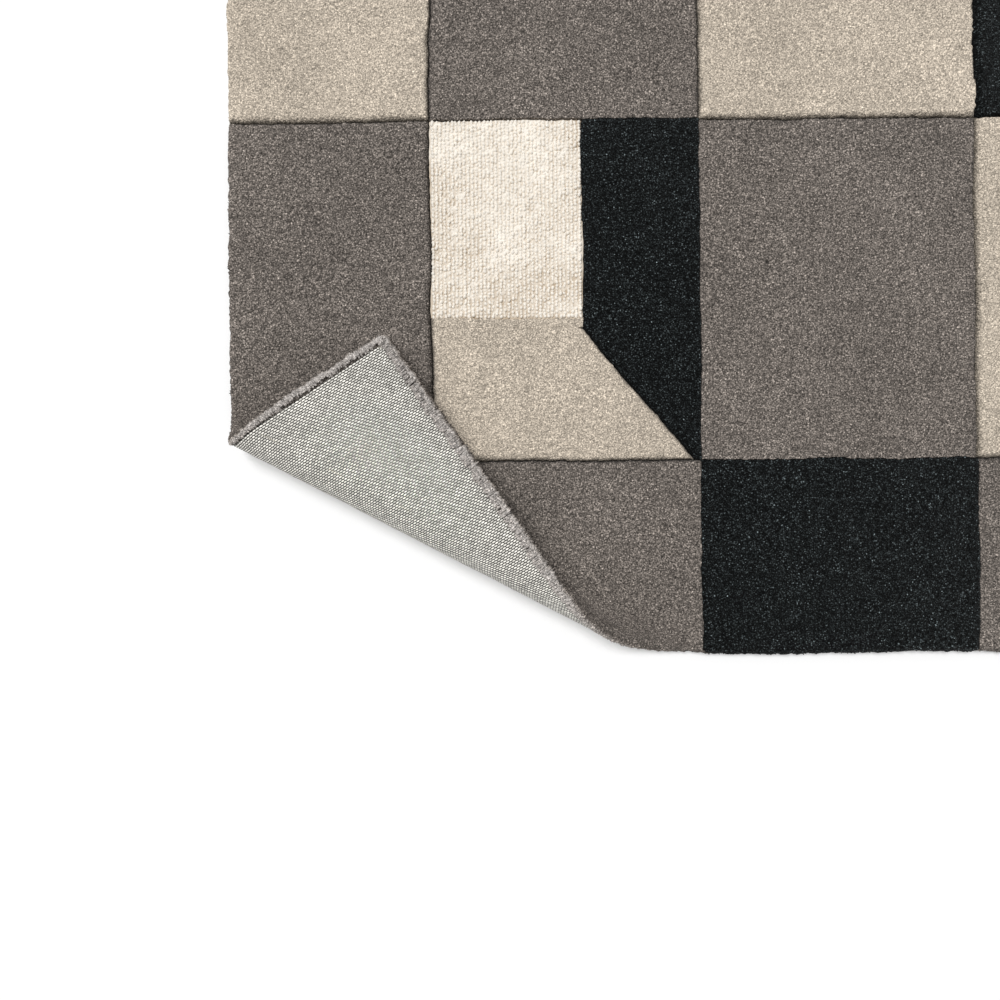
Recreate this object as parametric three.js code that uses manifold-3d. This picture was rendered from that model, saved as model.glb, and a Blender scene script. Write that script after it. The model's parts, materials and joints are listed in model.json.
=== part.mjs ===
// A hand-tufted area rug with its front left corner turned over, so that the woven back shows.
//
// Units are millimetres and +Z is up. The rug lies in the XY plane with its short sides along X and
// its long sides along Y. The origin is on the floor, under the middle of the rug.
//
// The rug is a stack of sheets: a woven backing cloth, a coat of latex with the turned-under hem
// around it, the tufting cloth, and the cut and looped pile, which is tufted in blocks of one yarn
// each. Every sheet is drawn flat. The corner is then turned over in a bend of narrow strips, each
// turned against the one before it on a crease in the backing's outer face, which is also the line
// of a hinge. The corner flap follows the last strip and hangs over the field.
import * as THREE from "three";
import { mergeVertices } from "three/addons/utils/BufferGeometryUtils.js";
import Module from "manifold-3d";

const wasm = await Module();
wasm.setup();

// Outline
const RUG_WIDTH = 1400;
const RUG_LENGTH = 2000;

// Sheets, from the floor up
const BACKING_THICKNESS = 1.2;
const LATEX_THICKNESS = 0.9;
const TUFTING_THICKNESS = 0.8;
const PILE_HEIGHT = 10.2;
const SHEET_CLEARANCE = 0.3;

// The pile leans out over the edge of the cloths by this much all round
const PILE_OVERHANG = 6;
const HEM_WIDTH = 30;

// Pattern: blocks in columns and rows that mirror about the middle, which takes what is left
const SIDE_COLUMN = 233;
const INNER_COLUMN = 308;
const END_ROW = 224;
const INNER_ROW = 392;
const LOOP_WIDTH = 174; // the looped block inside the corner motif
const WEDGE_HEIGHT = 164; // the beige block under it
const WEDGE_TOE = 7; // what the slanted seam leaves of the black block at its foot
const CENTRE_SLANT = 150; // how far the slanted seam of the middle block runs across
const ELBOW_DROP = 11; // from the looped block's edge to where the slanted and upright seams meet
const CARVED_GROOVE = 0.8; // between two blocks

// The turned corner
const FOLD_TILT = THREE.MathUtils.degToRad(27.7); // of the fold line against the short side
const FOLD_SETBACK = 256; // from the corner to the line where the backing leaves the floor
const FOLD_RADIUS = 34.2; // of the backing's outer face
const FOLD_HINGES = 6;
const FOLD_TURN = THREE.MathUtils.degToRad(184.5); // just past half a turn, so the tip droops
const HINGE_CLEARANCE = 0.3; // between the flanks of two strips

// Worked out from the sizes above
const LATEX_BOTTOM = BACKING_THICKNESS + SHEET_CLEARANCE;
const LATEX_TOP = LATEX_BOTTOM + LATEX_THICKNESS;
const TUFTING_BOTTOM = LATEX_TOP + SHEET_CLEARANCE;
const TUFTING_TOP = TUFTING_BOTTOM + TUFTING_THICKNESS;
const PILE_BOTTOM = TUFTING_TOP + SHEET_CLEARANCE;
const PILE_TOP = PILE_BOTTOM + PILE_HEIGHT;
const LEFT = -RUG_WIDTH / 2;
const FRONT = -RUG_LENGTH / 2;
const HINGE_TURN = FOLD_TURN / FOLD_HINGES;
const FLANK_SLOPE = Math.tan(HINGE_TURN / 2);
const STRIP_WIDTH = 2 * FOLD_RADIUS * FLANK_SLOPE;
const FLAP = FOLD_HINGES; // part 0 is the field, then come the strips, then the flap
const REACH = RUG_WIDTH + RUG_LENGTH; // longer than any line across the rug

// The fold line's own directions: out towards the corner, and the axis that turns it upwards
const OUTWARD = new THREE.Vector3(-Math.sin(FOLD_TILT), -Math.cos(FOLD_TILT), 0);
const UP = new THREE.Vector3(0, 0, 1);
const FOLD_AXIS = new THREE.Vector3().crossVectors(OUTWARD, UP);
const CORNER = new THREE.Vector3(LEFT, FRONT, 0);
const FOLD_START = CORNER.clone().addScaledVector(OUTWARD, -FOLD_SETBACK);

// Yarns and cloths, as plain colours
const TAUPE = { color: 0x736c65, roughness: 0.95, metalness: 0 };
const BLACK = { color: 0x1c2021, roughness: 0.95, metalness: 0 };
const BEIGE = { color: 0xbaae9f, roughness: 0.95, metalness: 0 };
const CREAM = { color: 0xe4dacc, roughness: 0.95, metalness: 0 };
const BACKING = { color: 0xc4c2bb, roughness: 0.9, metalness: 0 };
const TUFTING = { color: 0xd8d4c8, roughness: 0.9, metalness: 0 };
const LATEX = { color: 0xd9d3bf, roughness: 0.7, metalness: 0 };

const rug = new THREE.Group();

// A geometry's solid, for joining and cutting.
function solidOf(geometry) {
  const bare = new THREE.BufferGeometry();
  bare.setAttribute("position", geometry.getAttribute("position"));
  if (geometry.index) bare.setIndex(geometry.index);
  const merged = mergeVertices(bare, 1e-4);
  return new wasm.Manifold(
    new wasm.Mesh({
      numProp: 3,
      vertProperties: merged.getAttribute("position").array,
      triVerts: new Uint32Array(merged.index.array),
    }),
  );
}

// A solid's geometry, for a mesh.
function geometryOf(solid) {
  const { vertProperties, triVerts } = solid.getMesh();
  const geometry = new THREE.BufferGeometry();
  geometry.setAttribute("position", new THREE.BufferAttribute(vertProperties, 3));
  geometry.setIndex(new THREE.BufferAttribute(triVerts, 1));
  geometry.computeVertexNormals();
  return geometry;
}

// A flat sheet between two heights, with an outline in the rug's own X and Y.
function sheet(shape, bottom, top) {
  const geometry = new THREE.ExtrudeGeometry(shape, {
    depth: top - bottom,
    bevelEnabled: false,
    curveSegments: 8,
  });
  geometry.translate(0, 0, bottom);
  return solidOf(geometry);
}

// A rectangle between two corners, each given from the rug's front left corner.
function rectangle(x0, y0, x1, y1) {
  return new THREE.Shape([
    new THREE.Vector2(LEFT + x0, FRONT + y0),
    new THREE.Vector2(LEFT + x1, FRONT + y0),
    new THREE.Vector2(LEFT + x1, FRONT + y1),
    new THREE.Vector2(LEFT + x0, FRONT + y1),
  ]);
}

// The rug's outline, drawn in by some amount.
function outline(inset) {
  return rectangle(inset, inset, RUG_WIDTH - inset, RUG_LENGTH - inset);
}

// How far out from the fold's start a crease lies, counted from 1.
function creaseDistance(number) {
  return (number - 0.5) * STRIP_WIDTH;
}

// Everything that belongs to one part of the fold: between two creases, with flanks that meet the
// neighbours' flanks when the corner is turned over.
function partOfFold(part) {
  const clearance = HINGE_CLEARANCE / 2;
  const inner = part === 0 ? -REACH : creaseDistance(part) + clearance;
  const outer = part === FLAP ? REACH : creaseDistance(part + 1) - clearance;
  const lean = FLANK_SLOPE * PILE_TOP;
  const innerTop = part === 0 ? inner : inner + lean;
  const outerTop = part === FLAP ? outer : outer - lean;
  const section = new THREE.Shape([
    new THREE.Vector2(inner, 0),
    new THREE.Vector2(outer, 0),
    new THREE.Vector2(outerTop, PILE_TOP),
    new THREE.Vector2(innerTop, PILE_TOP),
  ]);
  const geometry = new THREE.ExtrudeGeometry(section, { depth: 2 * REACH, bevelEnabled: false });
  geometry.translate(0, 0, -REACH);
  const frame = new THREE.Matrix4().makeBasis(OUTWARD, UP, FOLD_AXIS).setPosition(FOLD_START);
  geometry.applyMatrix4(frame);
  return solidOf(geometry);
}

// The groups that the meshes hang in: each is turned against the one before it on its crease.
function foldGroups() {
  const groups = [rug];
  for (let crease = 1; crease <= FOLD_HINGES; crease++) {
    const group = new THREE.Group();
    const place = FOLD_START.clone().addScaledVector(OUTWARD, creaseDistance(crease));
    group.quaternion.setFromAxisAngle(FOLD_AXIS, HINGE_TURN);
    group.position.copy(place).sub(place.clone().applyQuaternion(group.quaternion));
    groups[crease - 1].add(group);
    groups.push(group);
  }
  return groups;
}

const folds = Array.from({ length: FOLD_HINGES + 1 }, (_, part) => partOfFold(part));
const groups = foldGroups();

// Adds what one part of the fold holds of a flat sheet.
function addPiece(name, flat, part, finish) {
  const solid = flat.intersect(folds[part]);
  const mesh = new THREE.Mesh(geometryOf(solid), new THREE.MeshStandardMaterial(finish));
  mesh.name = name;
  groups[part].add(mesh);
}

// A block of pile, drawn in by half a groove where it meets another block and not at the rug's edge.
function pileRectangle(x0, y0, x1, y1) {
  const half = CARVED_GROOVE / 2;
  return rectangle(
    x0 > 0 ? x0 + half : x0,
    y0 > 0 ? y0 + half : y0,
    x1 < RUG_WIDTH ? x1 - half : x1,
    y1 < RUG_LENGTH ? y1 - half : y1,
  );
}

function pile(shape) {
  return sheet(shape, PILE_BOTTOM, PILE_TOP);
}

// The seam of the corner motif from its foot to its top: up the slant, round the elbow, then
// upright from the edge of the looped block. The step moves it sideways by half a groove.
function motifSeam(step) {
  const foot = new THREE.Vector2(
    LEFT + SIDE_COLUMN + INNER_COLUMN - WEDGE_TOE + step,
    FRONT + END_ROW + CARVED_GROOVE / 2,
  );
  const elbow = new THREE.Vector2(
    LEFT + SIDE_COLUMN + LOOP_WIDTH + step,
    FRONT + END_ROW + WEDGE_HEIGHT - ELBOW_DROP,
  );
  const slant = foot.clone().sub(elbow).normalize();
  const turnStart = elbow.clone().addScaledVector(slant, ELBOW_DROP);
  const shape = new THREE.Shape();
  shape.moveTo(foot.x, foot.y);
  shape.lineTo(turnStart.x, turnStart.y);
  shape.quadraticCurveTo(elbow.x, elbow.y, elbow.x, elbow.y + ELBOW_DROP - CARVED_GROOVE / 2);
  return { shape, foot, elbow };
}

// The beige block of the corner motif, under the looped block.
function beigeWedge() {
  const { shape, foot, elbow } = motifSeam(-CARVED_GROOVE / 2);
  const left = LEFT + SIDE_COLUMN + CARVED_GROOVE / 2;
  shape.lineTo(left, elbow.y + ELBOW_DROP - CARVED_GROOVE / 2);
  shape.lineTo(left, foot.y);
  return pile(shape);
}

// The black block of the corner motif, right of the seam.
function blackWedge() {
  const { shape, foot, elbow } = motifSeam(CARVED_GROOVE / 2);
  const top = FRONT + END_ROW + INNER_ROW - CARVED_GROOVE / 2;
  const right = LEFT + SIDE_COLUMN + INNER_COLUMN - CARVED_GROOVE / 2;
  shape.lineTo(elbow.x, top);
  shape.lineTo(right, top);
  shape.lineTo(right, foot.y);
  return pile(shape);
}

// The lower half of the middle block, which a slanted seam divides.
function centreHalf() {
  const half = CARVED_GROOVE / 2;
  const left = LEFT + SIDE_COLUMN + INNER_COLUMN + half;
  const bottom = FRONT + END_ROW + INNER_ROW + half;
  return new THREE.Shape([
    new THREE.Vector2(left, bottom),
    new THREE.Vector2(-left, bottom),
    new THREE.Vector2(-left, -CENTRE_SLANT - half),
    new THREE.Vector2(left, CENTRE_SLANT - half),
  ]);
}

// Turns a flat solid by half a turn about the middle of the rug.
function twinOf(solid) {
  return solid.rotate([0, 0, 180]);
}

// The blocks of the front half, each with the name, yarn and twin's yarn. The middle rows end at
// the rug's own middle.
function pileBlocks() {
  const column2 = SIDE_COLUMN;
  const loopRight = SIDE_COLUMN + LOOP_WIDTH;
  const column3 = SIDE_COLUMN + INNER_COLUMN;
  const column4 = RUG_WIDTH - column3;
  const column5 = RUG_WIDTH - SIDE_COLUMN;
  const loopFoot = END_ROW + WEDGE_HEIGHT;
  const row3 = END_ROW + INNER_ROW;
  const middle = RUG_LENGTH / 2;
  const row4 = RUG_LENGTH - row3;
  const block = (...corners) => pile(pileRectangle(...corners));
  return [
    ["left_border", block(0, 0, column2, row3), TAUPE],
    ["left_end", block(column2, 0, column3, END_ROW), TAUPE],
    ["middle_end", block(column3, 0, column4, END_ROW), BLACK],
    ["right_end", block(column4, 0, column5, END_ROW), TAUPE],
    ["right_border", block(column5, 0, RUG_WIDTH, row3), BLACK],
    ["motif_wedge_beige", beigeWedge(), BEIGE],
    ["motif_loop_cream", block(column2, loopFoot, loopRight, row3), CREAM],
    ["motif_wedge_black", blackWedge(), BLACK],
    ["beside_motif", block(column3, END_ROW, column4, row3), TAUPE],
    ["beside_border", block(column4, END_ROW, column5, row3), BEIGE],
    ["side_middle", block(0, row3, column2, row4), BEIGE],
    ["inner_left", block(column2, row3, column3, middle), TAUPE],
    ["inner_right", block(column4, row3, column5, middle), BLACK],
    ["centre", pile(centreHalf()), BEIGE, BLACK],
  ];
}

// The hem: the tufting cloth's margin, turned under and glued down around the latex.
function hems() {
  const edge = PILE_OVERHANG;
  const inner = PILE_OVERHANG + HEM_WIDTH;
  const strip = (...corners) => sheet(rectangle(...corners), LATEX_BOTTOM, LATEX_TOP);
  const farX = RUG_WIDTH - inner;
  const farY = RUG_LENGTH - inner;
  return {
    left: strip(edge, edge, inner - SHEET_CLEARANCE, RUG_LENGTH - edge),
    right: strip(farX + SHEET_CLEARANCE, edge, RUG_WIDTH - edge, RUG_LENGTH - edge),
    front: strip(inner, edge, farX, inner - SHEET_CLEARANCE),
    back: strip(inner, farY + SHEET_CLEARANCE, farX, RUG_LENGTH - edge),
  };
}

function addField(sheets, hem) {
  addPiece("field_backing_cloth", sheets.backing, 0, BACKING);
  addPiece("field_latex_coat", sheets.latex, 0, LATEX);
  addPiece("field_tufting_cloth", sheets.tufting, 0, TUFTING);
  for (const [side, solid] of Object.entries(hem)) {
    addPiece(`field_hem_${side}`, solid, 0, TUFTING);
  }
  for (const [name, solid, yarn, twinYarn = yarn] of pileBlocks()) {
    addPiece(`pile_${name}_1`, solid, 0, yarn);
    addPiece(`pile_${name}_2`, twinOf(solid), 0, twinYarn);
  }
}

// In the bend the latex, hem and tufting cloth are one stiffened layer, and the pile is all taupe.
function addBend(sheets) {
  for (let strip = 1; strip < FLAP; strip++) {
    addPiece(`bend_${strip}_backing_cloth`, sheets.backing, strip, BACKING);
    addPiece(`bend_${strip}_tufting_cloth`, sheets.stiffened, strip, TUFTING);
    addPiece(`bend_${strip}_pile`, sheets.pile, strip, TAUPE);
  }
}

function addFlap(sheets, hem) {
  addPiece("flap_backing_cloth", sheets.backing, FLAP, BACKING);
  addPiece("flap_latex_coat", sheets.latex, FLAP, LATEX);
  addPiece("flap_tufting_cloth", sheets.tufting, FLAP, TUFTING);
  addPiece("flap_hem_left", hem.left, FLAP, TUFTING);
  addPiece("flap_hem_front", hem.front, FLAP, TUFTING);
  addPiece("flap_pile_border", pile(pileRectangle(0, 0, SIDE_COLUMN, RUG_LENGTH)), FLAP, TAUPE);
  addPiece("flap_pile_end", pile(pileRectangle(SIDE_COLUMN, 0, RUG_WIDTH, END_ROW)), FLAP, TAUPE);
}

const sheets = {
  backing: sheet(outline(PILE_OVERHANG), 0, BACKING_THICKNESS),
  latex: sheet(outline(PILE_OVERHANG + HEM_WIDTH), LATEX_BOTTOM, LATEX_TOP),
  tufting: sheet(outline(PILE_OVERHANG), TUFTING_BOTTOM, TUFTING_TOP),
  stiffened: sheet(outline(PILE_OVERHANG), LATEX_BOTTOM, TUFTING_TOP),
  pile: sheet(outline(0), PILE_BOTTOM, PILE_TOP),
};
const hem = hems();
addField(sheets, hem);
addBend(sheets);
addFlap(sheets, hem);

export default rug;
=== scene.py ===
"""The looks of a hand-tufted area rug that lies on the floor with one corner turned over.

The rug is modelled flat, as it is made: a woven backing cloth, stiffened tufting cloth, and blocks
of cut or looped pile, each of one yarn, with carved grooves between them. What lies past the line
of the fold is then rolled over the bend onto the flap. All lengths are in metres.
"""

import json
import logging
import math
from collections.abc import Iterable, Sequence
from dataclasses import dataclass
from enum import Enum

import bpy
import numpy as np
from mathutils import Matrix, Vector
from mathutils.geometry import convex_hull_2d

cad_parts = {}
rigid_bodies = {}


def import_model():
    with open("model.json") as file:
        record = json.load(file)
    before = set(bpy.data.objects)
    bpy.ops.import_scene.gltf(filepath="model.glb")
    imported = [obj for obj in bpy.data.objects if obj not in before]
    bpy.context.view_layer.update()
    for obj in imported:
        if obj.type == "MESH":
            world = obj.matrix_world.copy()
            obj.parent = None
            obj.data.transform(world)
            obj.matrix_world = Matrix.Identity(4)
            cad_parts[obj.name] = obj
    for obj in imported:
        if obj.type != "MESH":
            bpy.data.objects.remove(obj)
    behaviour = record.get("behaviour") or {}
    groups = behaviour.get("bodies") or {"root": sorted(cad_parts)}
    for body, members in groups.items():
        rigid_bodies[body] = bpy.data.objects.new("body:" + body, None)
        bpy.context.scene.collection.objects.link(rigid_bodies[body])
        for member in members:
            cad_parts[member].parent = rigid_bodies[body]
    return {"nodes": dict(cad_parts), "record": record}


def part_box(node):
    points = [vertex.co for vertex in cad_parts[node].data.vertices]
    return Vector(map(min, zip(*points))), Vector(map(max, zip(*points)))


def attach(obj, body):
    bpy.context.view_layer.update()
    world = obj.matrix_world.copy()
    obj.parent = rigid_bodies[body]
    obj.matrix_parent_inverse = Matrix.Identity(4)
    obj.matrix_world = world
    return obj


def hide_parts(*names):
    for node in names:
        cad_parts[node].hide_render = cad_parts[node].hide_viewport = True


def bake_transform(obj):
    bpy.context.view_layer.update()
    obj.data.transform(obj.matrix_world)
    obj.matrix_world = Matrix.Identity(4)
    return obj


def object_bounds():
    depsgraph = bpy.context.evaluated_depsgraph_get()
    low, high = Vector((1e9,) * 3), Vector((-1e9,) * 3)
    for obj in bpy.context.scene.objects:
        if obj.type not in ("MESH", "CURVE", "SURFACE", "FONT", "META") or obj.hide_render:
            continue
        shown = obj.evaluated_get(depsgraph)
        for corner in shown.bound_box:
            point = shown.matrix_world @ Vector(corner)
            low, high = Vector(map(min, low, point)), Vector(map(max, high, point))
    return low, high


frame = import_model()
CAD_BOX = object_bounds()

Vectors = np.ndarray
Plan = tuple[float, float]
LOG = logging.getLogger("rug")
MM = 0.001
ACROSS = np.array([1.0, 0.0])  # along the rug's short sides
GROOVE = 0.8 * MM  # between two blocks of pile
ON_LINE = 1e-6  # what counts as lying on a line
CLOSE = 1e-7  # and what counts as lying on it just after a cut


# ---------------------------------------------------------------- the fold


@dataclass(frozen=True)
class Fold:
    """The bend that turns the corner over: a round of the sheet between the field and the flap.

    Depth is measured out from the line where the backing leaves the floor, towards the corner.
    """

    start: Vectors
    out: Vectors
    along: Vectors
    radius: float
    turn: float
    strip: float
    bodies: tuple[str, ...]

    @classmethod
    def from_joints(cls, joints: Sequence[dict]) -> "Fold":
        """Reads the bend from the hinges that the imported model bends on.

        Args:
            joints: The hinges, from the field to the flap.

        Returns:
            The fold that rolls round inside those hinges.
        """
        places = np.array([joint["pos_m"] for joint in joints])
        along = np.array(joints[0]["axis"][:2])
        along = along / np.linalg.norm(along)
        out = np.array([along[1], -along[0]])
        strip = float(np.linalg.norm(places[1] - places[0]))
        step = math.radians(joints[0]["range_deg"][1])
        bodies = (joints[0]["parent"], *(joint["child"] for joint in joints))
        return cls(
            start=places[0][:2] - out * strip / 2,
            out=out,
            along=along,
            radius=strip / 2 / math.tan(step / 2),
            turn=step * len(joints),
            strip=strip,
            bodies=bodies,
        )

    @property
    def bends(self) -> int:
        """How many pieces the bend is made of, one for each hinge."""
        return len(self.bodies) - 1

    @property
    def length(self) -> float:
        """How much of the sheet's depth lies in the bend."""
        return self.strip * self.bends

    def depth(self, places: Vectors) -> Vectors:
        """How far out each flat place lies past the start of the bend."""
        return (places[:, :2] - self.start) @ self.out

    def line(self, depth: float) -> Vectors:
        """A point of the flat sheet at some depth."""
        return self.start + self.out * depth

    def lay(self, flat: Vectors) -> Vectors:
        """Rolls flat places over the bend.

        Args:
            flat: Places in the flat sheet, N by 3, with height counted up from the floor.

        Returns:
            Where they lie with the corner turned over.
        """
        depth = self.depth(flat)
        side = (flat[:, :2] - self.start) @ self.along
        angle = np.clip(depth / self.length, 0, 1) * self.turn
        past = np.maximum(depth - self.length, 0)
        reach = self.radius - flat[:, 2]
        run = np.where(depth < 0, depth, reach * np.sin(angle) + past * np.cos(angle))
        rise = self.radius - reach * np.cos(angle) + past * np.sin(angle)
        placed = np.empty_like(flat)
        placed[:, :2] = self.start + side[:, None] * self.along + run[:, None] * self.out
        placed[:, 2] = np.where(depth < 0, flat[:, 2], rise)
        return placed

    def flatten(self, places: Vectors) -> Vectors:
        """Where places of the turned flap lie in plan when the corner is flat on the floor.

        Args:
            places: Places on the turned flap, N by 3.

        Returns:
            Their places in plan, N by 2.
        """
        run = (places[:, :2] - self.start) @ self.out
        side = (places[:, :2] - self.start) @ self.along
        past = run * math.cos(self.turn) + (places[:, 2] - self.radius) * math.sin(self.turn)
        return self.start + side[:, None] * self.along + (self.length + past)[:, None] * self.out

    def attach(self, piece: bpy.types.Object, part: int, inner_height: float) -> None:
        """Makes a piece of the field or the flap move with its body; a piece of the bend only has its
        transform applied and stays where it lies.

        Args:
            piece: The piece, already laid over the bend.
            part: 0 for the field, then one number for each hinge, then the flap.
            inner_height: The height in the sheet of the piece's innermost layer.
        """
        if part == 0 or part > self.bends:
            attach(piece, self.bodies[0] if part == 0 else self.bodies[-1])
            return
        depths = ((part - 1) * self.strip, part * self.strip)
        ends = [[*self.line(depth), inner_height] for depth in depths]
        start, end = self.lay(np.array(ends))
        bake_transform(piece)


FOLD = Fold.from_joints(frame["record"]["behaviour"]["joints"])
FLAP = FOLD.bends + 1


# ---------------------------------------------------------------- the rug's sizes


@dataclass(frozen=True)
class Rug:
    """The sizes that all the pieces share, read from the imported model."""

    low: Vectors
    high: Vectors
    backing_top: float
    cloth_low: float
    cloth_top: float
    pile_foot: float
    pile_top: float
    overhang: float

    @classmethod
    def from_frame(cls) -> "Rug":
        """Reads the outline, the layers and the pile's overhang from the model's nodes.

        Returns:
            The rug's shared sizes.
        """
        low, high = CAD_BOX
        backing_low, backing_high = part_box("field_backing_cloth")
        cloth_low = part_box("field_latex_coat")[0].z
        cloth_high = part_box("field_tufting_cloth")[1].z
        pile_low, pile_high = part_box("pile_right_border_1")
        return cls(
            low=np.array(low[:2]),
            high=np.array(high[:2]),
            backing_top=backing_high.z,
            cloth_low=cloth_low,
            cloth_top=cloth_high,
            pile_foot=pile_low.z,
            pile_top=pile_high.z,
            overhang=backing_low.x - low[0],
        )

    def inset(self, places: Vectors, margin: float) -> Vectors:
        """The nearest places of the outline drawn in by a margin."""
        return np.clip(places[:, :2], self.low + margin, self.high - margin)


RUG = Rug.from_frame()
SHOULDER = 6 * MM  # over which the pile rounds down to the rug's edge
FLARE = 4.7 * MM  # how much further the pile spreads at the edge of the hanging flap
PUFF = 3.6 * MM  # how far it swells past the backing there


class Unevenness:
    """Smooth random hills of one width, the same on every run."""

    KNOTS = 256  # after which they repeat

    def __init__(self, seed: int, width: float, height: float) -> None:
        """Lays out the hills.

        Args:
            seed: Picks the hills.
            width: Their spacing.
            height: How far they stray.
        """
        self.knots = np.random.default_rng(seed).normal(size=(self.KNOTS, self.KNOTS)) * height
        self.width = width

    def at(self, places: Vectors) -> Vectors:
        """The height of the hills at flat places.

        Args:
            places: Places in the flat sheet, N by 3 or N by 2.

        Returns:
            The height at each place.
        """
        cell = places[:, :2] / self.width
        whole = np.floor(cell).astype(int)
        share = cell - whole
        share = share * share * (3 - 2 * share)
        corner = whole % self.KNOTS
        after = (corner + 1) % self.KNOTS
        near = self.knots[corner[:, 0], corner[:, 1]] * (1 - share[:, 0])
        near += self.knots[after[:, 0], corner[:, 1]] * share[:, 0]
        far = self.knots[corner[:, 0], after[:, 1]] * (1 - share[:, 0])
        far += self.knots[after[:, 0], after[:, 1]] * share[:, 0]
        return near * (1 - share[:, 1]) + far * share[:, 1]


# ---------------------------------------------------------------- modelling helpers


def points_of(piece: bpy.types.Object) -> Vectors:
    """The places of a piece's vertices, N by 3.

    Args:
        piece: The piece.

    Returns:
        The places.
    """
    found = np.empty(len(piece.data.vertices) * 3)
    piece.data.vertices.foreach_get("co", found)
    return found.reshape(-1, 3)


def put_points(piece: bpy.types.Object, places: Vectors) -> None:
    """Moves a piece's vertices to new places."""
    piece.data.vertices.foreach_set("co", places.astype(np.float32).ravel())
    piece.data.update()


def select_only(piece: bpy.types.Object) -> None:
    """Selects one piece and nothing else, and makes it active.

    Args:
        piece: The piece.
    """
    bpy.ops.object.select_all(action="DESELECT")
    piece.select_set(True)
    bpy.context.view_layer.objects.active = piece


def picked(piece: bpy.types.Object) -> Vectors:
    """The numbers of a piece's selected vertices.

    Args:
        piece: The piece.

    Returns:
        The numbers.
    """
    found = np.empty(len(piece.data.vertices), dtype=bool)
    piece.data.vertices.foreach_get("select", found)
    return np.flatnonzero(found)


def remember(piece: bpy.types.Object, name: str, places: Vectors) -> None:
    """Keeps a place with each vertex of a piece, under a name.

    Args:
        piece: The piece.
        name: What recall() finds them by.
        places: A place for each vertex, N by 3.
    """
    kept = piece.data.attributes.get(name)
    kept = kept or piece.data.attributes.new(name, "FLOAT_VECTOR", "POINT")
    kept.data.foreach_set("vector", places.astype(np.float32).ravel())


def recall(piece: bpy.types.Object, name: str) -> Vectors:
    """The places that remember() kept, which new vertices copy from what they grew out of.

    Args:
        piece: The piece.
        name: What remember() kept them under.

    Returns:
        A place for each vertex, N by 3.
    """
    found = np.empty(len(piece.data.vertices) * 3, dtype=np.float32)
    piece.data.attributes[name].data.foreach_get("vector", found)
    return found.reshape(-1, 3).astype(float)


class Border(Enum):
    """What one side of a block of pile meets."""

    RIM = "the rug's own edge"
    CARVED = "another block, with a carved groove between"
    SOFT = "another block, tufted close up to it"
    CUT = "more of the same pile, in the next piece of the fold"


@dataclass(frozen=True)
class Side:
    """One straight side of a flat piece, with the direction that points out of the piece."""

    point: Vectors
    out: Vectors
    border: Border
    limit: "Side | None" = None  # the side only reaches as far as this one

    def inside(self, places: Vectors) -> Vectors:
        """How far inside this side each place lies, or a metre where the side doesn't reach.

        Args:
            places: Places in the flat sheet, N by 3 or N by 2.

        Returns:
            The distance of each place, below zero outside.
        """
        found = (self.point - places[:, :2]) @ self.out
        if self.limit is None:
            return found
        return np.where(self.limit.inside(places) < -CLOSE, 1.0, found)


def flat_sheet(
    name: str, low: Vectors, high: Vectors, pitch: float, origin: Vectors, across: Vectors
) -> bpy.types.Object:
    """Adds a flat sheet of square faces.

    Args:
        name: The new piece's name.
        low: The lowest corner, counted in the sheet's own directions from origin.
        high: The highest corner.
        pitch: The size of a face.
        origin: Where the sheet's own directions start, in plan.
        across: The sheet's own first direction in plan. The second is a quarter turn on.

    Returns:
        The sheet, with its place in its mesh.
    """
    size = high - low
    count = np.maximum(np.round(size / pitch).astype(int), 1)
    bpy.ops.object.select_all(action="DESELECT")
    bpy.ops.mesh.primitive_grid_add(x_subdivisions=int(count[0]), y_subdivisions=int(count[1]), size=1)
    piece = bpy.context.object
    piece.name = piece.data.name = name
    turn = Matrix.Identity(4)
    turn[0][0], turn[1][0] = across
    turn[0][1], turn[1][1] = -across[1], across[0]
    middle = (low + high) / 2
    piece.data.transform(
        Matrix.Translation((*origin, 0))
        @ turn
        @ Matrix.Translation((*middle, 0))
        @ Matrix.Diagonal((*size, 1, 1))
    )
    return piece


def trim(piece: bpy.types.Object, sides: Iterable[Side]) -> None:
    """Cuts away what lies outside each side of a flat piece.

    Args:
        piece: The flat piece.
        sides: The sides that bound what is kept.
    """
    select_only(piece)
    for side in sides:
        if side.inside(points_of(piece)).min() > -CLOSE:
            continue
        if side.limit is not None:
            cut(piece, side.limit, clear=False)
        cut(piece, side, clear=True)


def cut(piece: bpy.types.Object, side: Side, clear: bool) -> None:
    """Cuts a flat piece along a side, and clears what lies outside it if that is wanted.

    Args:
        piece: The flat piece.
        side: The line to cut along.
        clear: Whether what lies outside it goes.
    """
    bpy.ops.object.mode_set(mode="EDIT")
    bpy.ops.mesh.select_mode(type="VERT")
    bpy.ops.mesh.select_all(action="SELECT")
    if side.limit is not None:
        bpy.ops.object.mode_set(mode="OBJECT")
        reached = side.limit.inside(points_of(piece)) > -ON_LINE
        piece.data.vertices.foreach_set("select", reached)
        choose_whole_faces(piece, reached)
        bpy.ops.object.mode_set(mode="EDIT")
    bpy.ops.mesh.bisect(
        plane_co=(*side.point, 0), plane_no=(*side.out, 0), clear_outer=clear, threshold=CLOSE
    )
    bpy.ops.object.mode_set(mode="OBJECT")


def choose_whole_faces(piece: bpy.types.Object, chosen: Vectors) -> None:
    """Selects the edges and faces whose vertices are all chosen, and no others.

    Args:
        piece: The piece.
        chosen: Whether each vertex is chosen.
    """
    edges = np.empty(len(piece.data.edges) * 2, dtype=int)
    piece.data.edges.foreach_get("vertices", edges)
    piece.data.edges.foreach_set("select", chosen[edges.reshape(-1, 2)].all(axis=1))
    faces = [bool(chosen[list(face.vertices)].all()) for face in piece.data.polygons]
    piece.data.polygons.foreach_set("select", faces)


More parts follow.
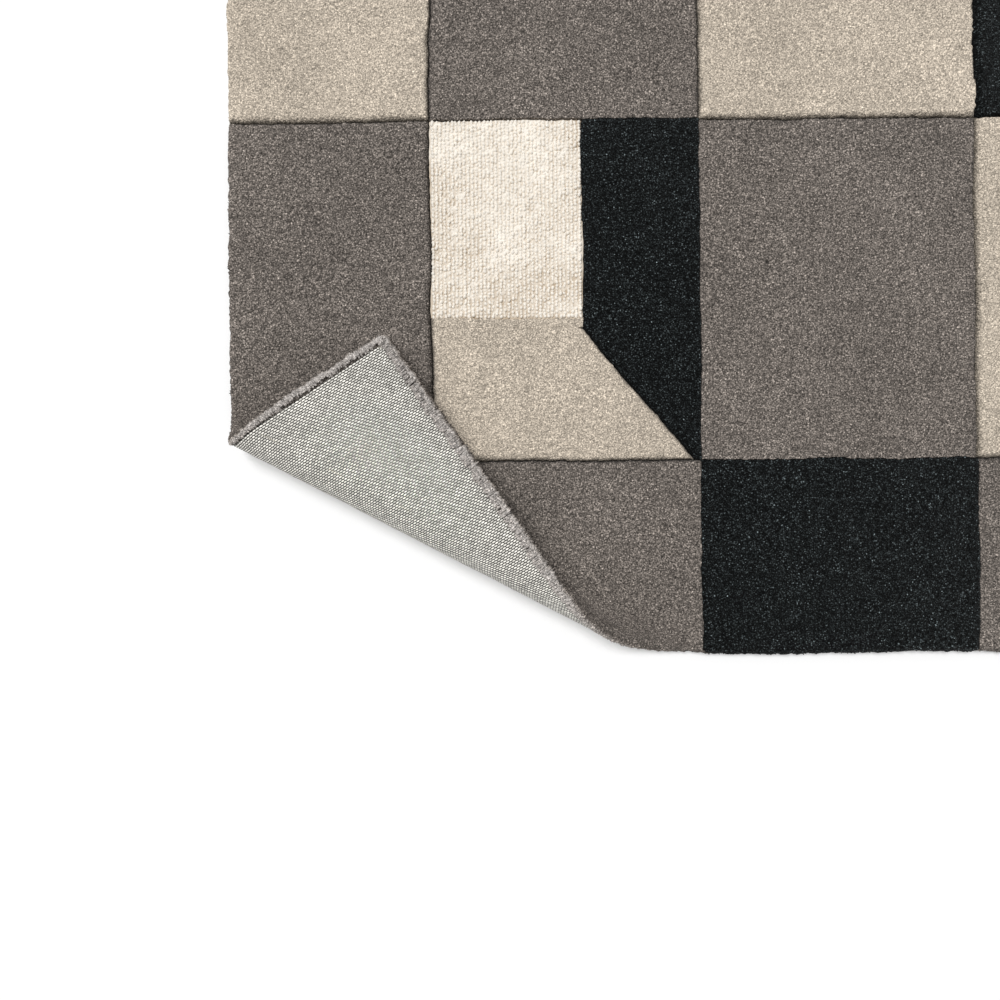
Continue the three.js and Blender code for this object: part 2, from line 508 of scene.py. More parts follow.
def close_below(piece: bpy.types.Object, rings: int) -> list[Vectors]:
    """Draws a skirt down from a flat piece's border, ring by ring, and closes it underneath.

    Args:
        piece: A flat piece, open all round.
        rings: How many rings of vertices the skirt has.

    Returns:
        The numbers of each ring's vertices, from the top down.
    """
    select_only(piece)
    found = []
    bpy.ops.object.mode_set(mode="EDIT")
    bpy.ops.mesh.select_mode(type="EDGE")
    bpy.ops.mesh.select_all(action="DESELECT")
    bpy.ops.mesh.select_non_manifold()
    for _ in range(rings):
        bpy.ops.mesh.extrude_edges_move()
        bpy.ops.object.mode_set(mode="OBJECT")
        found.append(picked(piece))
        bpy.ops.object.mode_set(mode="EDIT")
    bpy.ops.mesh.edge_face_add()
    bpy.ops.object.mode_set(mode="OBJECT")
    return found


def face_outwards(piece: bpy.types.Object) -> None:
    """Turns all the faces of a closed piece to point out.

    Args:
        piece: The piece.
    """
    select_only(piece)
    bpy.ops.object.mode_set(mode="EDIT")
    bpy.ops.mesh.select_all(action="SELECT")
    bpy.ops.mesh.normals_make_consistent(inside=False)
    bpy.ops.object.mode_set(mode="OBJECT")


def smooth(piece: bpy.types.Object, angle: float) -> None:
    """Shades a piece smooth, with sharp edges where its faces turn by more than angle degrees."""
    select_only(piece)
    bpy.ops.object.shade_smooth_by_angle(angle=math.radians(angle))


def dress(piece: bpy.types.Object, material: bpy.types.Material) -> None:
    """Gives a new piece its material, and reports it.

    Args:
        piece: The piece.
        material: Its finish.
    """
    piece.data.materials.clear()
    piece.data.materials.append(material)
    LOG.info("%s: %d faces", piece.name, len(piece.data.polygons))


# ---------------------------------------------------------------- finishes


class Board:
    """A material's node tree, with short ways to add and join nodes."""

    def __init__(self, name: str) -> None:
        """Starts a new material of that name.

        Args:
            name: The material's name.
        """
        self.material = bpy.data.materials.new(name)
        self.material.use_nodes = True
        self.tree = self.material.node_tree
        self.shader = self.tree.nodes["Principled BSDF"]

    def add(self, kind: str, **settings: object) -> bpy.types.Node:
        """Adds a node and sets its properties.

        Args:
            kind: Blender's name for the kind of node.
            **settings: The node's properties.

        Returns:
            The new node.
        """
        node = self.tree.nodes.new(kind)
        for name, value in settings.items():
            setattr(node, name, value)
        return node

    def feed(self, socket: bpy.types.NodeSocket, value: object) -> None:
        """Links a socket to another, or sets it to a plain value.

        Args:
            socket: The input to feed.
            value: Another node's output, or a number, vector or colour.
        """
        if isinstance(value, bpy.types.NodeSocket):
            self.tree.links.new(value, socket)
        elif socket.type == "VECTOR":
            socket.default_value = value[:3]
        else:
            socket.default_value = value

    def math(self, operation: str, *values: object) -> bpy.types.NodeSocket:
        """A sum of up to three values.

        Args:
            operation: Blender's name for the sum.
            *values: Outputs or numbers.

        Returns:
            The result.
        """
        node = self.add("ShaderNodeMath", operation=operation)
        for socket, value in zip(node.inputs, values):
            self.feed(socket, value)
        return node.outputs[0]

    def place(self) -> bpy.types.NodeSocket:
        """Where a spot of the surface lies in the flat sheet."""
        return self.add("ShaderNodeAttribute", attribute_name="flat").outputs["Vector"]

    def body_place(self) -> bpy.types.NodeSocket:
        """Where a spot of a piece that isn't rolled over the bend lies."""
        return self.add("ShaderNodeTexCoord").outputs["Object"]

    def noise(
        self, place: bpy.types.NodeSocket, width: float, detail: float = 2.0
    ) -> bpy.types.NodeSocket:
        """Random hills about width across, from 0 to 1.

        Args:
            place: Where each spot of the surface lies.
            width: How far apart the hills are.
            detail: How many finer layers of hills are added.

        Returns:
            The hills' height.
        """
        node = self.add("ShaderNodeTexNoise")
        self.feed(node.inputs["Vector"], place)
        self.feed(node.inputs["Scale"], 1 / width)
        self.feed(node.inputs["Detail"], detail)
        return node.outputs["Fac"]

    def spread(
        self, value: bpy.types.NodeSocket, low: float, high: float, to_low: float, to_high: float
    ) -> bpy.types.NodeSocket:
        """Stretches a value from one range to another and stops it at the ends.

        Args:
            value: What to stretch.
            low: The value that becomes to_low.
            high: The value that becomes to_high.
            to_low: The first end of the new range.
            to_high: The other end.

        Returns:
            The stretched value.
        """
        node = self.add("ShaderNodeMapRange", interpolation_type="LINEAR")
        for socket, number in zip(node.inputs, (value, low, high, to_low, to_high)):
            self.feed(socket, number)
        return node.outputs[0]

    def mix(self, share: object, first: object, second: object) -> bpy.types.NodeSocket:
        """A colour between two colours.

        Args:
            share: How much of the second colour there is, from 0 to 1.
            first: A colour or an output.
            second: A colour or an output.

        Returns:
            The mixed colour.
        """
        node = self.add("ShaderNodeMix", data_type="RGBA")
        self.feed(node.inputs[0], share)
        self.feed(node.inputs[6], first)
        self.feed(node.inputs[7], second)
        return node.outputs[2]

    def shade(self, colour: object, factor: bpy.types.NodeSocket) -> bpy.types.NodeSocket:
        """A colour made lighter or darker by a factor.

        Args:
            colour: A colour or an output.
            factor: What it is multiplied by.

        Returns:
            The shaded colour.
        """
        node = self.add("ShaderNodeVectorMath", operation="SCALE")
        self.feed(node.inputs[0], colour)
        self.feed(node.inputs["Scale"], factor)
        return node.outputs[0]

    def bump(self, height: bpy.types.NodeSocket, rise: float, strength: float) -> None:
        """Roughens the surface by a height that runs from 0 to 1 over rise.

        Args:
            height: The height.
            rise: What a height of 1 stands for.
            strength: How strongly it shows.
        """
        node = self.add("ShaderNodeBump")
        self.feed(node.inputs["Height"], height)
        self.feed(node.inputs["Distance"], rise)
        self.feed(node.inputs["Strength"], strength)
        self.tree.links.new(node.outputs[0], self.shader.inputs["Normal"])

    def finish(
        self, colour: bpy.types.NodeSocket, roughness: float, sheen: float, specular: float
    ) -> bpy.types.Material:
        """Sets the shader's own values and gives the material back.

        Args:
            colour: The surface's colour.
            roughness: How matt it is.
            sheen: How much fuzz catches the light.
            specular: How much it shines.

        Returns:
            The material.
        """
        self.tree.links.new(colour, self.shader.inputs["Base Color"])
        self.shader.inputs["Roughness"].default_value = roughness
        self.shader.inputs["Sheen Weight"].default_value = sheen
        self.shader.inputs["Sheen Roughness"].default_value = 0.6
        self.shader.inputs["Specular IOR Level"].default_value = specular
        return self.material


def linear(red: float, green: float, blue: float) -> tuple[float, float, float, float]:
    """A screen colour, 0 to 255 a channel, as the shader reads it.

    Args:
        red: The red channel.
        green: The green channel.
        blue: The blue channel.

    Returns:
        The colour, with full cover.
    """
    shares = [channel / 255 for channel in (red, green, blue)]
    made = [s / 12.92 if s <= 0.04045 else ((s + 0.055) / 1.055) ** 2.4 for s in shares]
    return (*made, 1.0)


@dataclass(frozen=True)
class CutYarn:
    """Cut wool pile of one colour, seen end on: a field of tuft tips, painted lighter, with painted shade
    between them.
    """

    slot: str
    colour: tuple[float, float, float, float]
    contrast: float = 1.0
    tuft: float = 2.1 * MM
    fibre: float = 1.55 * MM
    brushed: float = 22 * MM
    patch: float = 130 * MM
    tip_share: float = 0.9
    fibre_share: float = 4.4
    brushed_share: float = 0.22
    patch_share: float = 0.4
    # From side_high down to side_low the strands show side on: there the colour gets a painted highlight,
    # lighter, greyer and calmer. The groove factor below is painted shade in the carved grooves.
    side_low: float = -2 * MM
    side_high: float = 4 * MM
    side_painted_light: float = 3.3
    side_calm: float = 0.6
    side_grey: float = 0.5
    groove_painted_shade: float = 0.33

    def material(self) -> bpy.types.Material:
        """Makes the yarn's material, with a painted highlight that makes it lighter and greyer where the
        strands show side on, low at the rim, and painted shade in the carved grooves.

        Returns:
            The material.
        """
        board = Board(self.slot)
        place = board.place()
        cells = board.add("ShaderNodeTexVoronoi", feature="F1")
        board.feed(cells.inputs["Vector"], place)
        board.feed(cells.inputs["Scale"], 1 / self.tuft)
        # Each tuft tip is painted lighter towards its middle and darker towards its edges: painted shade
        # between the tufts. The same pattern also roughens the surface below.
        gap = board.spread(cells.outputs["Distance"], 0.1, 0.8, 0.5, -0.5)
        single = board.add("ShaderNodeSeparateColor")
        board.feed(single.inputs[0], cells.outputs["Color"])
        tip = board.math("SUBTRACT", single.outputs[0], 0.5)
        fibre = board.math("SUBTRACT", board.noise(place, self.fibre, 1.0), 0.5)
        brushed = board.math("SUBTRACT", board.noise(place, self.brushed), 0.5)
        patch = board.math("SUBTRACT", board.noise(place, self.patch, 1.0), 0.5)
        speckle = board.math("MULTIPLY", gap, self.contrast)
        for share, part in (
            (self.tip_share * self.contrast, tip),
            (self.fibre_share * self.contrast, fibre),
            (self.brushed_share, brushed),
            (self.patch_share, patch),
        ):
            speckle = board.math("MULTIPLY_ADD", part, share, speckle)
        split = board.add("ShaderNodeSeparateXYZ")
        board.feed(split.inputs[0], place)
        # Painted highlight: where the strands show side on, low in the sheet, the colour is made lighter,
        # greyer and calmer.
        side = board.spread(split.outputs[2], self.side_low, self.side_high, 1.0, 0.0)
        calm = board.math("MULTIPLY", speckle, board.spread(side, 0, 1, 1.0, self.side_calm))
        factor = board.math("EXPONENT", calm)
        factor = board.math("MULTIPLY", factor, board.spread(side, 0, 1, 1.0, self.side_painted_light))
        # Painted shade: the colour is darkened in the carved grooves, as deep as the groove runs.
        carved = board.add("ShaderNodeAttribute", attribute_name="carved").outputs["Fac"]
        factor = board.math("MULTIPLY", factor, board.spread(carved, 0, 1, 1.0, self.groove_painted_shade))
        grey = sum(self.colour[:3]) / 3
        painted_sheen_colour = board.mix(board.math("MULTIPLY", side, self.side_grey), self.colour, (grey, grey, grey, 1.0))
        colour = board.shade(painted_sheen_colour, factor)
        board.bump(board.math("ADD", gap, board.math("MULTIPLY", fibre, 2.0)), 1.2 * MM, 0.7)
        return board.finish(colour, roughness=1.0, sheen=0.04, specular=0.05)


@dataclass(frozen=True)
class LoopYarn:
    """Looped wool pile: plump strands with a brownish painted shade in the hollow round each."""

    slot: str
    colour: tuple[float, float, float, float]
    hollow_shade: tuple[float, float, float, float]
    low: float
    high: float
    fibre: float = 0.9 * MM

    def material(self) -> bpy.types.Material:
        """Makes the yarn's material, painted darker towards the foot of the loops as shade.

        Returns:
            The material.
        """
        board = Board(self.slot)
        place = board.place()
        split = board.add("ShaderNodeSeparateXYZ")
        board.feed(split.inputs[0], place)
        height = board.spread(split.outputs[2], self.low, self.high, 0.0, 1.0)
        strand = board.noise(place, self.fibre, 3.0)
        factor = board.spread(strand, 0.3, 0.7, 0.9, 1.08)
        patch = board.spread(board.noise(place, 9 * MM), 0.3, 0.7, 0.95, 1.05)
        lit = board.shade(self.colour, board.math("MULTIPLY", factor, patch))
        # Painted shade: the colour turns brownish towards the foot of the loops.
        colour = board.mix(height, self.hollow_shade, lit)
        board.bump(strand, 0.6 * MM, 0.7)
        return board.finish(colour, roughness=1.0, sheen=0.1, specular=0.1)


@dataclass(frozen=True)
class WovenCloth:
    """A plain weave whose lengthwise threads float over gaps painted dark as shade."""

    slot: str
    thread: tuple[float, float, float, float]
    gap: tuple[float, float, float, float]
    row: float = 2.35 * MM
    float_length: float = 4.5 * MM
    stagger: float = 0.44
    half_width: float = 0.37
    half_length: float = 0.44
    sway: tuple[float, float, float] = (0.8 * MM, 1.4 * MM, 0.0)
    sway_width: float = 7 * MM
    on_fold: bool = True

    def material(self) -> bpy.types.Material:
        """Makes the cloth's material.

        Returns:
            The material.
        """
        board = Board(self.slot if self.on_fold else self.slot + "_flat")
        place = board.place() if self.on_fold else board.body_place()
        stray = board.add("ShaderNodeTexNoise")
        board.feed(stray.inputs["Vector"], place)
        board.feed(stray.inputs["Scale"], 1 / self.sway_width)
        shift = board.add("ShaderNodeVectorMath", operation="MULTIPLY_ADD")
        board.feed(shift.inputs[0], stray.outputs["Color"])
        shift.inputs[1].default_value = self.sway
        board.feed(shift.inputs[2], place)
        split = board.add("ShaderNodeSeparateXYZ")
        board.feed(split.inputs[0], shift.outputs[0])
        across = board.math("DIVIDE", split.outputs[0], self.row)
        row = board.math("FLOOR", across)
        across = board.math("SUBTRACT", board.math("SUBTRACT", across, row), 0.5)
        down = board.math("DIVIDE", split.outputs[1], self.float_length)
        down = board.math("MULTIPLY_ADD", row, self.stagger, down)
        cell = board.math("FLOOR", down)
        down = board.math("SUBTRACT", board.math("SUBTRACT", down, cell), 0.5)
        width = board.math("POWER", board.math("DIVIDE", across, self.half_width), 2.0)
        length = board.math("POWER", board.math("DIVIDE", down, self.half_length), 2.0)
        height = board.math("SUBTRACT", 1.0, board.math("ADD", width, length))
        shown = board.spread(height, -0.2, 0.2, 0.0, 1.0)
        number = board.add("ShaderNodeCombineXYZ")
        board.feed(number.inputs[0], row)
        board.feed(number.inputs[1], cell)
        each = board.add("ShaderNodeTexWhiteNoise")
        board.feed(each.inputs["Vector"], number.outputs[0])
        factor = board.spread(each.outputs["Value"], 0, 1, 0.72, 1.2)
        fibre = board.spread(board.noise(place, 0.8 * MM), 0.3, 0.7, 0.85, 1.15)
        patch = board.spread(board.noise(place, 30 * MM), 0.3, 0.7, 0.97, 1.03)
        factor = board.math("MULTIPLY", board.math("MULTIPLY", factor, fibre), patch)
        # The gap colour between the threads is painted shade.
        colour = board.mix(shown, self.gap, board.shade(self.thread, factor))
        board.bump(board.spread(height, -0.6, 1.0, 0.0, 1.0), 0.9 * MM, 0.9)
        return board.finish(colour, roughness=0.95, sheen=0.1, specular=0.15)


@dataclass(frozen=True)
class Latex:
    """Brushed-on latex: cream, matt and slightly lumpy."""

    slot: str
    colour: tuple[float, float, float, float]

    def material(self) -> bpy.types.Material:
        """Makes the latex's material.

        Returns:
            The material.
        """
        board = Board(self.slot)
        place = board.body_place()
        lumps = board.noise(place, 6 * MM, 4.0)
        factor = board.spread(lumps, 0.3, 0.7, 0.88, 1.08)
        board.bump(lumps, 0.8 * MM, 0.6)
        return board.finish(board.shade(self.colour, factor), roughness=0.7, sheen=0.0, specular=0.4)


# ---------------------------------------------------------------- cut pile


@dataclass(frozen=True)
class PileSurface:
    """How the top and the sides of a block of pile are shaped."""

    tuft_stray: float = 0.34 * MM
    side_stray: float = 0.5 * MM
    carve_depth: float = 4.2 * MM
    carve_width: float = 1.95 * MM
    soft_depth: float = 0.6 * MM
    hills: tuple[Unevenness, ...] = (
        Unevenness(11, 9 * MM, 0.16 * MM),
        Unevenness(12, 38 * MM, 0.3 * MM),
        Unevenness(13, 120 * MM, 0.3 * MM),
    )
    wander: Unevenness = Unevenness(14, 16 * MM, 0.35)
    waver: tuple[tuple[Unevenness, Unevenness], ...] = (
        (Unevenness(31, 4 * MM, 0.42 * MM), Unevenness(32, 4 * MM, 0.42 * MM)),
        (Unevenness(33, 17 * MM, 0.42 * MM), Unevenness(34, 17 * MM, 0.42 * MM)),
        (Unevenness(35, 60 * MM, 0.95 * MM), Unevenness(36, 60 * MM, 0.95 * MM)),
    )

    # The rim from the shoulder down and back under to the cloth: how far in, and how high, in mm
    RIM = ((0.1, 5.6), (0.9, 2.9), (2.4, 1.3), (3.9, 1.1), (4.5, 1.9), (4.7, 3.7), (8.0, 3.7))

    def hand_tufted(self, places: Vectors) -> Vectors:
        """Shifts plan places the way that lines tufted by hand waver.

        Args:
            places: Places in plan.

        Returns:
            The shift of each place, N by 2.
        """
        shift = np.zeros((len(places), 2))
        for sideways, lengthways in self.waver:
            shift[:, 0] += sideways.at(places)
            shift[:, 1] += lengthways.at(places)
        return shift

    def furrow(self, places: Vectors, inside: Vectors) -> Vectors:
        """How far into a groove places lie that are some way from its line, from 0 to 1."""
        width = self.carve_width * np.clip(1 + self.wander.at(places), 0.5, 1.7)
        return np.exp(-((inside / width) ** 2))

    def carved(self, places: Vectors, sides: Sequence[Side], furrows: Sequence[Side]) -> Vectors:
        """How far into a carved groove places lie, from 0 to 1.

        Args:
            places: Places in plan.
            sides: The block's sides.
            furrows: Grooves that cross the block.

        Returns:
            The share of a groove's full depth at each place.
        """
        found = np.zeros(len(places))
        for side in sides:
            if side.border is Border.CARVED:
                found = np.maximum(found, self.furrow(places, np.maximum(side.inside(places), 0)))
        for line in furrows:
            found = np.maximum(found, self.furrow(places, np.abs(line.inside(places))))
        return found

    def top(self, places: Vectors, sides: Sequence[Side], furrows: Sequence[Side]) -> Vectors:
        """The height of the pile's top, without the stray of single tufts.

        Args:
            places: Places in plan.
            sides: The block's sides.
            furrows: Grooves that cross the block.

        Returns:
            The height at each place.
        """
        height = np.full(len(places), RUG.pile_top)
        for hill in self.hills:
            height += hill.at(places)
        for side in sides:
            if side.border is Border.SOFT:
                height -= self.furrow(places, np.maximum(side.inside(places), 0)) * self.soft_depth
        height -= self.carved(places, sides, furrows) * self.carve_depth
        reach = np.linalg.norm(places[:, :2] - RUG.inset(places, SHOULDER), axis=1)
        return height - SHOULDER + np.sqrt(np.maximum(SHOULDER**2 - np.minimum(reach, SHOULDER) ** 2, 0))


SURFACE = PileSurface()


def spread_rim(places: Vectors, inward: Vectors | float) -> Vectors:
    """Moves plan places near the rug's edge to where the rounded rim has them.

    Args:
        places: Places in plan, in the outline.
        inward: How far in from the rim each lies, or is to lie.

    Returns:
        The moved places in plan. On the flap the pile spreads further out.
    """
    root = RUG.inset(places, SHOULDER)
    away = places[:, :2] - root
    reach = np.linalg.norm(away, axis=1)
    direction = away / np.maximum(reach, 1e-9)[:, None]
    flare = FLARE * np.clip(FOLD.depth(places) / FOLD.length, 0, 1) ** 2
    wanted = (SHOULDER - inward) * (1 + flare / SHOULDER)
    return np.where(reach[:, None] > 1e-7, root + direction * wanted[:, None], places[:, :2])


def copies(name: str, template: bpy.types.Object, places: Vectors) -> bpy.types.Object:
    """Makes one piece of many shaped copies of a template, which is then removed.

    Args:
        name: The new piece's name.
        template: The piece that each copy is shaped from.
        places: Where the vertices of each copy go, copies by vertices by 3.

    Returns:
        The new piece.
    """
    corners = [list(face.vertices) for face in template.data.polygons]
    step = places.shape[1]
    faces = [[v + step * number for v in face] for number in range(len(places)) for face in corners]
    mesh = bpy.data.meshes.new(name)
    mesh.from_pydata(places.reshape(-1, 3).tolist(), [], faces)
    made = bpy.data.objects.new(name, mesh)
    bpy.context.scene.collection.objects.link(made)
    bpy.data.objects.remove(template, do_unlink=True)
    return made


def puffed(places: Vectors, inward: Vectors | float) -> Vectors:
    """How far the pile's rim swells out past the backing, which it only does where it hangs free.

    Args:
        places: Places in plan.
        inward: How far in from the rim each lies.

    Returns:
        The swelling, down through the sheet, at each place.
    """
    free = np.clip(FOLD.depth(places) / FOLD.length, 0, 1)
    return PUFF * free * np.exp(-(((inward - 2.6 * MM) / (2.2 * MM)) ** 2))


@dataclass(frozen=True)
class RimTufts:
    """Strands of pile that lie side on along one straight stretch of the rug's own edge."""

    side: Side
    others: Sequence[Side]
    spacing: float = 1.75 * MM
    thickness: float = 0.95 * MM
    bushy: float = 0.35 * MM  # how far the strands stand proud of each other
    lean: float = 1.3 * MM  # how far their tips lean sideways
    root_drop: float = 0.9 * MM  # how far the roots sink where the rim hangs free
    lie_over: float = 2.1 * MM  # how far the front edge's strands lie over the turned backing
    fuller: float = 0.35  # how much thicker they are, as a share
    levels: tuple[float, ...] = (0.3, 0.6, 0.85)  # where a strand bends
    # From the cloth's edge out and up to the tip: how far in from the rim, and how high, in mm
    path: tuple[Plan, ...] = ((5.1, 1.7), (3.2, 1.15), (1.2, 2.6), (0.0, 5.4), (-0.3, 8.2))

    def strand(self) -> bpy.types.Object:
        """One straight strand, from 0 to 1 along Z, that thins out towards its tip.

        Returns:
            The strand, which the copies are shaped from.
        """
        bpy.ops.object.select_all(action="DESELECT")
        bpy.ops.mesh.primitive_cone_add(vertices=4, radius1=1.0, radius2=0.45, depth=1, location=(0, 0, 0.5))
        strand = bpy.context.object
        bpy.ops.object.transform_apply(location=True, rotation=True, scale=True)
        for level in self.levels:
            bpy.ops.object.mode_set(mode="EDIT")
            bpy.ops.mesh.select_all(action="SELECT")
            bpy.ops.mesh.bisect(plane_co=(0, 0, level), plane_no=(0, 0, 1))
            bpy.ops.object.mode_set(mode="OBJECT")
        return strand

    def roots(self, stray: np.random.Generator) -> Vectors:
        """Where along the edge the strands stand, N by 2.

        Args:
            stray: Where the random strays come from.

        Returns:
            The roots in plan.
        """
        tangent = np.array([-self.side.out[1], self.side.out[0]])
        count = int(2.2 / self.spacing)
        steps = (np.arange(count) - count / 2 + stray.uniform(-0.4, 0.4, count)) * self.spacing
        found = self.side.point + steps[:, None] * tangent
        for other in self.others:
            found = found[other.inside(found) > 0.2 * MM]
        kept = (found >= RUG.low - ON_LINE) & (found <= RUG.high + ON_LINE)
        return found[kept.all(axis=1)]

    def build(self, seed: int) -> bpy.types.Object | None:
        """Models the strands in the flat sheet.

        Args:
            seed: Picks how they stray.

        Returns:
            All the strands as one piece, or nothing if this stretch has none.
        """
        stray = np.random.default_rng(seed)
        roots = self.roots(stray)
        if not len(roots):
            return None
        strand = self.strand()
        vertices = points_of(strand)
        tangent = np.array([-self.side.out[1], self.side.out[0]])
        count = len(roots)
        reach = stray.uniform(0.72, 1.0, count)[:, None]
        along = vertices[:, 2][None] * reach + stray.uniform(0, 0.06, count)[:, None]
        path = np.array(self.path) * MM
        marks = np.linspace(0, 1, len(path))
        inward = np.interp(along, marks, path[:, 0])
        height = np.interp(along, marks, path[:, 1])
        slope_in = np.interp(along + 0.05, marks, path[:, 0]) - inward
        slope_up = np.interp(along + 0.05, marks, path[:, 1]) - height
        slope = np.hypot(slope_in, slope_up) + 1e-9
        free = np.clip(FOLD.depth(roots) / FOLD.length, 0, 1)[:, None] ** 2
        in_front = self.side.out[1] < -0.5
        lie_over = self.lie_over if in_front else 0.0
        fuller = 1 + free * (self.fuller if in_front else 0.0)
        thick = self.thickness * stray.uniform(0.75, 1.25, count)[:, None] * fuller
        outside = vertices[:, 1][None] * thick + stray.normal(size=count)[:, None] * self.bushy
        inward = inward - outside * slope_up / slope
        height = np.maximum(height + outside * slope_in / slope, 0.15 * MM)
        root = np.clip(1 - along * 2, 0, 1)
        overlap = stray.uniform(-0.6, 1.1, count)[:, None] * MM * root + lie_over * root
        inward += overlap * free
        height -= free * root * (self.root_drop + 0.65 * lie_over)
        yaw = stray.normal(size=count)[:, None] * self.lean
        shift = vertices[:, 0][None] * thick + yaw * vertices[:, 2][None]
        plan = np.repeat(roots, len(vertices), axis=0)
        placed = spread_rim(plan, inward.ravel()) + shift.ravel()[:, None] * tangent
        placed += SURFACE.hand_tufted(plan)
        lift = height.ravel() - puffed(plan, inward.ravel())
        places = np.column_stack([placed, lift]).reshape(count, len(vertices), 3)
        return copies("rim_tufts", strand, places)


@dataclass(frozen=True)
class PileBlock:
    """A block of cut pile of one yarn, or what one part of the fold holds of it."""

    name: str
    low: Vectors
    high: Vectors
    sides: tuple[Side, ...]
    part: int = 0
    furrows: tuple[Side, ...] = ()
    origin: tuple[float, float] = (0.0, 0.0)
    across: tuple[float, float] = (1.0, 0.0)
    pitch: float = 2.5 * MM
    lowered: float = 0.0

    def build(self, seed: int) -> bpy.types.Object:
        """Models the block flat and rolls it over the fold.

        Args:
            seed: Picks how the single tufts stray.

        Returns:
            The block, closed and smooth.
        """
        piece = flat_sheet(
            self.name, self.low, self.high, self.pitch, np.array(self.origin), np.array(self.across)
        )
        trim(piece, self.sides)
        remember(piece, "plan", points_of(piece))
        rings = close_below(piece, len(SURFACE.RIM))
        plan = recall(piece, "plan")
        places = self.shape(points_of(piece), plan, rings, seed)
        # Kept for the shader, which paints shade into the carved grooves.
        carved = SURFACE.carved(plan, self.sides, self.furrows)
        remember(piece, "carved", np.column_stack([carved, carved, carved]))
        piece.data.attributes.remove(piece.data.attributes["plan"])
        put_points(piece, places)
        for tufts in self.rim_tufts(seed + 1000):
            select_only(tufts)
            piece.select_set(True)
            bpy.context.view_layer.objects.active = piece
            bpy.ops.object.join()
        face_outwards(piece)
        flat = points_of(piece)
        remember(piece, "flat", flat)
        put_points(piece, FOLD.lay(flat))
        smooth(piece, 68)
        FOLD.attach(piece, self.part, RUG.pile_top)
        return piece

    def rim_tufts(self, seed: int) -> list[bpy.types.Object]:
        """The strands that show side on round the block's stretches of the rug's own edge.

        Args:
            seed: Picks how they stray.

        Returns:
            One piece for each stretch that has strands.
        """
        found = []
        for number, side in enumerate(self.sides):
            if side.border is Border.RIM:
                others = [other for other in self.sides if other is not side]
                tufts = RimTufts(side, others).build(seed * 10 + number)
                if tufts:
                    found.append(tufts)
        return found

    def shape(self, places: Vectors, plan: Vectors, rings: list[Vectors], seed: int) -> Vectors:
        """Works out where each vertex goes in the flat sheet.

        Args:
            places: The vertices as cut, all on one level.
            plan: Where in plan each vertex grew from.
            rings: The skirt's vertices, from the top down.
            seed: Picks how the single tufts stray.

        Returns:
            The vertices' places.
        """
        stray = np.random.default_rng(seed)
        places = places.copy()
        top = np.setdiff1d(np.arange(len(places)), np.concatenate(rings))
        edge = self.edge_distance(plan)
        loose = np.clip(edge / (2 * MM), 0, 1)
        reach = np.linalg.norm(plan[:, :2] - RUG.inset(plan, SHOULDER), axis=1)
        inward = np.clip(SHOULDER - reach, 0, SHOULDER)
        moved = spread_rim(plan, inward)
        height = SURFACE.top(plan, self.sides, self.furrows) - self.lowered
        jitter = stray.normal(size=(len(places), 3)) * SURFACE.tuft_stray
        places[top, :2] = moved[top] + jitter[top, :2] * 1.4 * loose[top, None]
        places[top, 2] = height[top] + np.clip(jitter[top, 2], -1 * MM, 1 * MM) * loose[top]
        on_rim = self.on_rim(plan)
        for number, ((inset, level), ring) in enumerate(zip(SURFACE.RIM, rings), 1):
            step = number / len(SURFACE.RIM)
            rim = on_rim[ring]
            lump = stray.normal(size=len(ring)) * SURFACE.side_stray * (0 < inset < 5)
            plan_at = spread_rim(plan[ring], inset * MM + lump)
            straight = height[ring] + (RUG.pile_foot - 0.1 * MM - height[ring]) * step
            places[ring, :2] = np.where(rim[:, None], plan_at, plan[ring, :2])
            swollen = level * MM + np.abs(lump) * 0.4 - puffed(plan[ring], inset * MM)
            places[ring, 2] = np.where(rim, swollen, straight)
        places[:, :2] += SURFACE.hand_tufted(plan)
        return places

    def edge_distance(self, plan: Vectors) -> Vectors:
        """How far each place lies from the nearest side where the pile goes on.

        Args:
            plan: Places in plan.

        Returns:
            The distance of each place.
        """
        found = np.full(len(plan), 1.0)
        for side in self.sides:
            if side.border is not Border.RIM:
                found = np.minimum(found, np.maximum(side.inside(plan), 0))
        return found

    def on_rim(self, plan: Vectors) -> Vectors:
        """Which places lie on the rug's own edge.

        Args:
            plan: Places in plan.

        Returns:
            True for each place on the edge.
        """
        found = np.zeros(len(plan), dtype=bool)
        for side in self.sides:
            if side.border is Border.RIM:
                found |= np.abs(side.inside(plan)) < ON_LINE
        return found


# ---------------------------------------------------------------- the pattern


TAUPE = CutYarn("taupe_pile", linear(113, 106, 100))
BLACK = CutYarn("black_pile", linear(17, 19.5, 20), contrast=2.4)
BEIGE = CutYarn("beige_pile", linear(196, 184, 168), contrast=0.55)
CREAM = LoopYarn(
    "cream_loop_pile",
    linear(247, 240, 229),
    # the brownish painted shade towards the foot of the loops
    linear(190, 172, 148),
    low=RUG.pile_top - 3.9 * MM,
    high=RUG.pile_top - 1.6 * MM,
)
# Each cloth's second colour is painted shade in the gaps between its threads.
BACKING = WovenCloth("backing_cloth", linear(255, 252, 243), linear(42, 40, 37))
TUFTING_FLAT = WovenCloth("tufting_cloth", linear(216, 212, 200), linear(150, 146, 134), on_fold=False)
TUFTING = WovenCloth("tufting_cloth", linear(216, 212, 200), linear(150, 146, 134))
LATEX = Latex("latex", linear(217, 211, 191))


def block_sides(low: Vectors, high: Vectors) -> list[tuple[Vectors, Vectors]]:
    """The middle of each of a rectangle's four sides, with the direction out of it.

    Args:
        low: The rectangle's lowest corner.
        high: Its highest corner.

    Returns:
        Four pairs of a middle and a direction.
    """
    middle = (low + high) / 2
    found = []
    for axis in (0, 1):
        for end, sign in ((low, -1.0), (high, 1.0)):
            point, out = middle.copy(), np.zeros(2)
            point[axis], out[axis] = end[axis], sign
            found.append((point, out))
    return found


